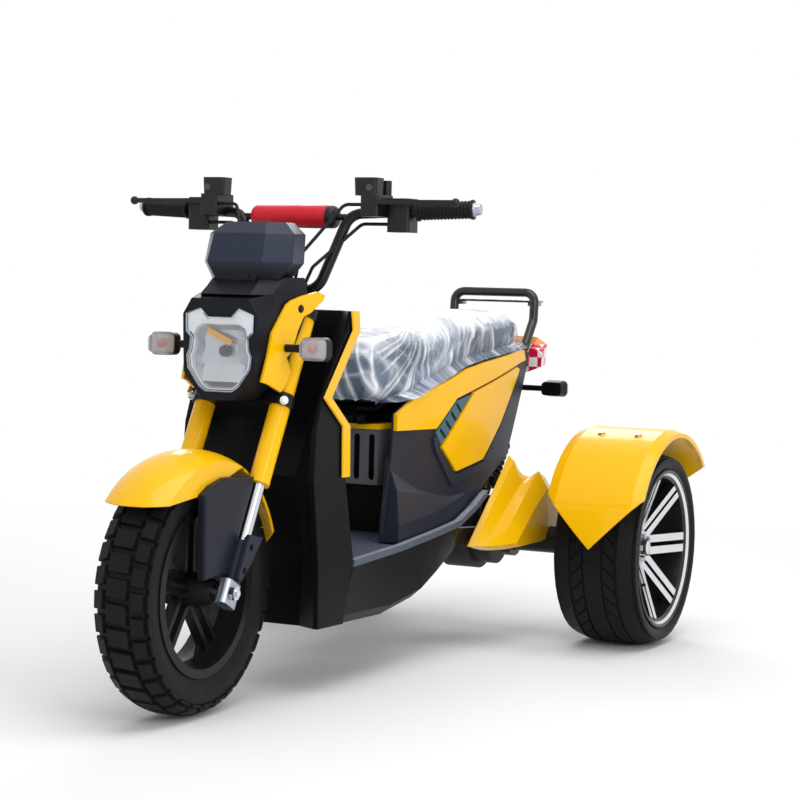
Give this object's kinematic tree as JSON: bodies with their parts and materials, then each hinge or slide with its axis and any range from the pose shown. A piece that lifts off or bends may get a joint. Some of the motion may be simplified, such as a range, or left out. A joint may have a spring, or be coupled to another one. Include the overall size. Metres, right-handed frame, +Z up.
{
  "type": "three-wheeled electric scooter",
  "caption": "Three-wheeled electric scooter: steered front wheel on a raked fork, wide rear wheels under arched fenders, step-through floor, long hinged seat, grab hoop and small rack.",
  "frame": {"origin": "on the ground under the middle of the overall length and width", "axes": "+X forward, +Y to the rider's left, +Z up"},
  "size_m": [1.7894, 1.084, 1.044],
  "materials": {
    "yellow_plastic": "moulded yellow, glossy",
    "black_plastic": "black, fine grain",
    "grey_plastic": "dark grey, fine grain",
    "vent_plastic": "mid grey, fine grain",
    "teal_plastic": "teal mesh",
    "tyre": "black rubber",
    "black_alloy": "black satin paint",
    "cut_alloy": "machined faces on black",
    "silver_alloy": "cast, satin",
    "chrome": "bright chrome",
    "steel": "bright steel",
    "frame_paint": "black paint",
    "red_pad": "red padded sleeve",
    "grip_rubber": "ribbed rubber",
    "clear_lens": "clear",
    "amber_lens": "clear lens over amber",
    "red_lens": "red lens with white and amber fields",
    "lamp_bowl": "bright reflector",
    "seat_vinyl": "black vinyl over foam",
    "battery_case": "black case",
    "motor_case": "black painted casting"
  },
  "bodies": {
    "chassis": {"main_frame": "frame_paint", "leg_shield": "black_plastic", "shield_trim": "yellow_plastic", "floorboard": "grey_plastic", "belly_pan": "black_plastic", "battery": "battery_case", "side_covers": "grey_plastic", "upper_panels": "yellow_plastic", "lower_panels": "yellow_plastic", "side_grilles": "teal_plastic", "vent_panel": "vent_plastic", "seat_box": "black_plastic", "grab_rack": "frame_paint", "tail_bracket": "black_plastic", "tail_lamp": "red_lens", "rear_signals": "black_plastic", "rear_signal_lenses": "amber_lens", "drive_motor": "motor_case", "axle_tubes": "frame_paint", "swing_arm": "frame_paint", "rear_shocks": "steel", "axle_fairings": "yellow_plastic", "rear_fenders": "yellow_plastic"},
    "steering": {"yokes": "frame_paint", "handlebar": "frame_paint", "crossbar_pad": "red_pad", "grips": "grip_rubber", "switch_housings": "black_plastic", "brake_controls": "black_plastic", "instrument_visor": "grey_plastic", "headlamp_bowl": "lamp_bowl", "headlamp_lens": "clear_lens", "headlamp_mask": "black_plastic", "mask_cheeks": "yellow_plastic", "front_signals": "black_plastic", "front_signal_lenses": "amber_lens", "fork_tubes": "yellow_plastic", "fork_stanchions": "chrome", "fork_lowers": "black_alloy", "axle_clamps": "silver_alloy", "front_axle": "steel", "front_fender": "yellow_plastic", "fork_guards": "grey_plastic", "front_caliper": "black_alloy", "control_cables": "grip_rubber"},
    "front_wheel": {"front_tyre": "tyre", "front_rim": "black_alloy", "front_disc": "steel"},
    "rear_left_wheel": {"rear_left_tyre": "tyre", "rear_left_rim": "cut_alloy"},
    "rear_right_wheel": {"rear_right_tyre": "tyre", "rear_right_rim": "cut_alloy"},
    "seat": {"seat": "seat_vinyl", "seat_pan": "black_plastic"}
  },
  "joints": [
    {"name": "steering", "type": "hinge", "parent": "chassis", "child": "steering", "pos_m": [0.6052, 0, 0.21812], "axis": [-0.4695, 0, 0.8829], "range_deg": [-35, 35]},
    {"name": "front_wheel_spin", "type": "hinge", "parent": "steering", "child": "front_wheel", "pos_m": [0.652, 0, 0.243], "axis": [0, 1, 0], "continuous": true},
    {"name": "rear_left_spin", "type": "hinge", "parent": "chassis", "child": "rear_left_wheel", "pos_m": [-0.639, 0.42, 0.228], "axis": [0, 1, 0], "continuous": true},
    {"name": "rear_right_spin", "type": "hinge", "parent": "chassis", "child": "rear_right_wheel", "pos_m": [-0.639, -0.42, 0.228], "axis": [0, 1, 0], "continuous": true},
    {"name": "seat_lid", "type": "hinge", "parent": "chassis", "child": "seat", "pos_m": [0.02, 0, 0.54], "axis": [0, 1, 0], "range_deg": [0, 55]}
  ]
}
